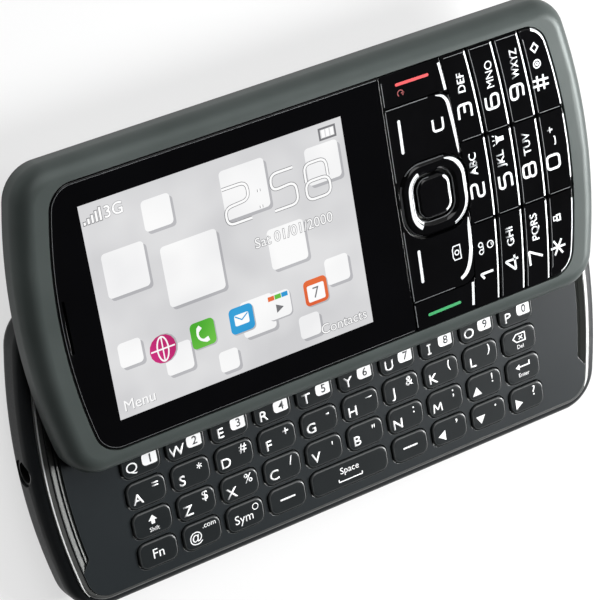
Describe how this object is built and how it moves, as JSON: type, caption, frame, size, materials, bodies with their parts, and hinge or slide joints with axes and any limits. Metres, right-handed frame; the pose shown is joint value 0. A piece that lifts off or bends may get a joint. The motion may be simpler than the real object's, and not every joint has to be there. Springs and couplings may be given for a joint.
{
  "type": "slider phone",
  "caption": "Mobile phone whose display half slides sideways over its base to uncover a letter keyboard.",
  "frame": {"origin": "centre of the base's flat back, on the plane it lies on", "axes": "+X along the phone towards the number keys, +Y the way the display half slides open, +Z out of the keys"},
  "size_m": [0.1146, 0.0798, 0.0153],
  "materials": {
    "housing": "satin black moulded plastic",
    "cover": "fine-textured black moulded plastic",
    "deck": "satin charcoal lacquer",
    "trim": "bright plated bead",
    "bezel": "satin metallic gunmetal lacquer",
    "tray": "satin black moulded plastic",
    "face_glass": "clear window, printed black behind its border",
    "panel": "lit colour display",
    "gloss_keys": "gloss black with bright bevelled edges",
    "keyboard_keys": "satin charcoal key caps",
    "side_keys": "satin charcoal plastic",
    "steel": "plain pressed steel sheet",
    "spring_steel": "hard drawn wire",
    "screws": "blackened steel",
    "mat": "dark silicone",
    "dome_film": "metal dome film",
    "board": "green glass-fibre board",
    "battery_case": "black battery pack",
    "module": "moulded black component case",
    "lens_glass": "clear cover disc",
    "socket_plastic": "black moulded socket",
    "flex_film": "amber polyimide ribbon"
  },
  "bodies": {
    "base": {"base_housing": "housing", "keyboard_deck": "deck", "trim_ring": "trim", "rail_plate": "steel", "keyboard_mat": "mat", "dome_sheet": "dome_film", "main_board": "board", "battery": "battery_case", "camera_module": "module", "camera_window": "lens_glass", "loudspeaker": "module", "headphone_jack": "socket_plastic", "usb_socket": "steel", "card_holder": "steel", "vibration_motor": "steel", "antenna": "module", "base_screws": "screws", "assist_spring": "spring_steel", "slide_flex": "flex_film"},
    "slider": {"slider_bezel": "bezel", "slider_tray": "tray", "slide_plate": "steel", "slider_screws": "screws", "display_window": "face_glass", "display_frame": "steel", "display_panel": "panel", "earpiece": "module", "keypad_board": "board", "keypad_mat": "mat"},
    "battery_cover": {"battery_cover": "cover"},
    "volume_key": {"volume_key": "side_keys"},
    "camera_key": {"camera_key": "side_keys"},
    "nav_seat": {"nav_seat": "module"},
    "nav_ring": {"nav_ring": "gloss_keys"},
    "ok_key": {"ok_key": "gloss_keys"},
    "clear_key": {"clear_key": "gloss_keys"},
    "photo_key": {"photo_key": "gloss_keys"},
    "send_key": {"send_key": "gloss_keys"},
    "end_key": {"end_key": "gloss_keys"},
    "key_1": {"key_1": "gloss_keys"},
    "key_2": {"key_2": "gloss_keys"},
    "key_3": {"key_3": "gloss_keys"},
    "key_4": {"key_4": "gloss_keys"},
    "key_5": {"key_5": "gloss_keys"},
    "key_6": {"key_6": "gloss_keys"},
    "key_7": {"key_7": "gloss_keys"},
    "key_8": {"key_8": "gloss_keys"},
    "key_9": {"key_9": "gloss_keys"},
    "key_star": {"key_star": "gloss_keys"},
    "key_0": {"key_0": "gloss_keys"},
    "key_hash": {"key_hash": "gloss_keys"},
    "keyboard_row_1": {"keyboard_row_1": "keyboard_keys"},
    "keyboard_row_2": {"keyboard_row_2": "keyboard_keys"},
    "delete_key": {"delete_key": "keyboard_keys"},
    "shift_key": {"shift_key": "keyboard_keys"},
    "keyboard_row_3": {"keyboard_row_3": "keyboard_keys"},
    "enter_key": {"enter_key": "keyboard_keys"},
    "function_key": {"function_key": "keyboard_keys"},
    "keyboard_row_4": {"keyboard_row_4": "keyboard_keys"},
    "space_key": {"space_key": "keyboard_keys"}
  },
  "joints": [
    {"name": "slide", "type": "slide", "parent": "base", "child": "slider", "axis": [0, 1, 0], "range_m": [-0.0256, 0], "deforming": ["assist_spring", "slide_flex"]},
    {"name": "battery_cover_slide", "type": "slide", "parent": "base", "child": "battery_cover", "axis": [1, 0, 0], "range_m": [0, 0.006]},
    {"name": "volume_rocker", "type": "hinge", "parent": "base", "child": "volume_key", "pos_m": [-0.03, -0.025, 0.0042], "axis": [0, 0, 1], "range_deg": [-2, 2], "stiffness_Nm_per_rad": 0.03},
    {"name": "camera_key_press", "type": "slide", "parent": "base", "child": "camera_key", "axis": [0, -1, 0], "range_m": [0, 0.0003], "stiffness_N_per_m": 500},
    {"name": "nav_up_down", "type": "hinge", "parent": "slider", "child": "nav_seat", "pos_m": [0.0214, 0.0252, 0.01287], "axis": [1, 0, 0], "range_deg": [-1.5, 1.5], "stiffness_Nm_per_rad": 0.02},
    {"name": "nav_left_right", "type": "hinge", "parent": "nav_seat", "child": "nav_ring", "pos_m": [0.0214, 0.0252, 0.01334], "axis": [0, 1, 0], "range_deg": [-1.5, 1.5], "stiffness_Nm_per_rad": 0.02},
    {"name": "ok_key_press", "type": "slide", "parent": "slider", "child": "ok_key", "axis": [0, 0, -1], "range_m": [0, 0.00025], "stiffness_N_per_m": 400},
    {"name": "clear_key_press", "type": "slide", "parent": "slider", "child": "clear_key", "axis": [0, 0, -1], "range_m": [0, 0.00025], "stiffness_N_per_m": 400},
    {"name": "photo_key_press", "type": "slide", "parent": "slider", "child": "photo_key", "axis": [0, 0, -1], "range_m": [0, 0.00025], "stiffness_N_per_m": 400},
    {"name": "send_key_press", "type": "slide", "parent": "slider", "child": "send_key", "axis": [0, 0, -1], "range_m": [0, 0.00025], "stiffness_N_per_m": 400},
    {"name": "end_key_press", "type": "slide", "parent": "slider", "child": "end_key", "axis": [0, 0, -1], "range_m": [0, 0.00025], "stiffness_N_per_m": 400},
    {"name": "space_key_press", "type": "slide", "parent": "base", "child": "space_key", "axis": [0, 0, -1], "range_m": [0, 0.00025], "stiffness_N_per_m": 400},
    {"name": "shift_key_press", "type": "slide", "parent": "base", "child": "shift_key", "axis": [0, 0, -1], "range_m": [0, 0.00025], "stiffness_N_per_m": 400},
    {"name": "enter_key_press", "type": "slide", "parent": "base", "child": "enter_key", "axis": [0, 0, -1], "range_m": [0, 0.00025], "stiffness_N_per_m": 400},
    {"name": "delete_key_press", "type": "slide", "parent": "base", "child": "delete_key", "axis": [0, 0, -1], "range_m": [0, 0.00025], "stiffness_N_per_m": 400},
    {"name": "function_key_press", "type": "slide", "parent": "base", "child": "function_key", "axis": [0, 0, -1], "range_m": [0, 0.00025], "stiffness_N_per_m": 400},
    {"name": "keyboard_row_1_press", "type": "slide", "parent": "base", "child": "keyboard_row_1", "axis": [0, 0, -1], "range_m": [0, 0.00025], "stiffness_N_per_m": 400},
    {"name": "keyboard_row_2_press", "type": "slide", "parent": "base", "child": "keyboard_row_2", "axis": [0, 0, -1], "range_m": [0, 0.00025], "stiffness_N_per_m": 400},
    {"name": "keyboard_row_3_press", "type": "slide", "parent": "base", "child": "keyboard_row_3", "axis": [0, 0, -1], "range_m": [0, 0.00025], "stiffness_N_per_m": 400},
    {"name": "keyboard_row_4_press", "type": "slide", "parent": "base", "child": "keyboard_row_4", "axis": [0, 0, -1], "range_m": [0, 0.00025], "stiffness_N_per_m": 400},
    {"name": "key_1_press", "type": "slide", "parent": "slider", "child": "key_1", "axis": [0, 0, -1], "range_m": [0, 0.00025], "stiffness_N_per_m": 400},
    {"name": "key_2_press", "type": "slide", "parent": "slider", "child": "key_2", "axis": [0, 0, -1], "range_m": [0, 0.00025], "stiffness_N_per_m": 400},
    {"name": "key_3_press", "type": "slide", "parent": "slider", "child": "key_3", "axis": [0, 0, -1], "range_m": [0, 0.00025], "stiffness_N_per_m": 400},
    {"name": "key_4_press", "type": "slide", "parent": "slider", "child": "key_4", "axis": [0, 0, -1], "range_m": [0, 0.00025], "stiffness_N_per_m": 400},
    {"name": "key_5_press", "type": "slide", "parent": "slider", "child": "key_5", "axis": [0, 0, -1], "range_m": [0, 0.00025], "stiffness_N_per_m": 400},
    {"name": "key_6_press", "type": "slide", "parent": "slider", "child": "key_6", "axis": [0, 0, -1], "range_m": [0, 0.00025], "stiffness_N_per_m": 400},
    {"name": "key_7_press", "type": "slide", "parent": "slider", "child": "key_7", "axis": [0, 0, -1], "range_m": [0, 0.00025], "stiffness_N_per_m": 400},
    {"name": "key_8_press", "type": "slide", "parent": "slider", "child": "key_8", "axis": [0, 0, -1], "range_m": [0, 0.00025], "stiffness_N_per_m": 400},
    {"name": "key_9_press", "type": "slide", "parent": "slider", "child": "key_9", "axis": [0, 0, -1], "range_m": [0, 0.00025], "stiffness_N_per_m": 400},
    {"name": "key_star_press", "type": "slide", "parent": "slider", "child": "key_star", "axis": [0, 0, -1], "range_m": [0, 0.00025], "stiffness_N_per_m": 400},
    {"name": "key_0_press", "type": "slide", "parent": "slider", "child": "key_0", "axis": [0, 0, -1], "range_m": [0, 0.00025], "stiffness_N_per_m": 400},
    {"name": "key_hash_press", "type": "slide", "parent": "slider", "child": "key_hash", "axis": [0, 0, -1], "range_m": [0, 0.00025], "stiffness_N_per_m": 400}
  ]
}
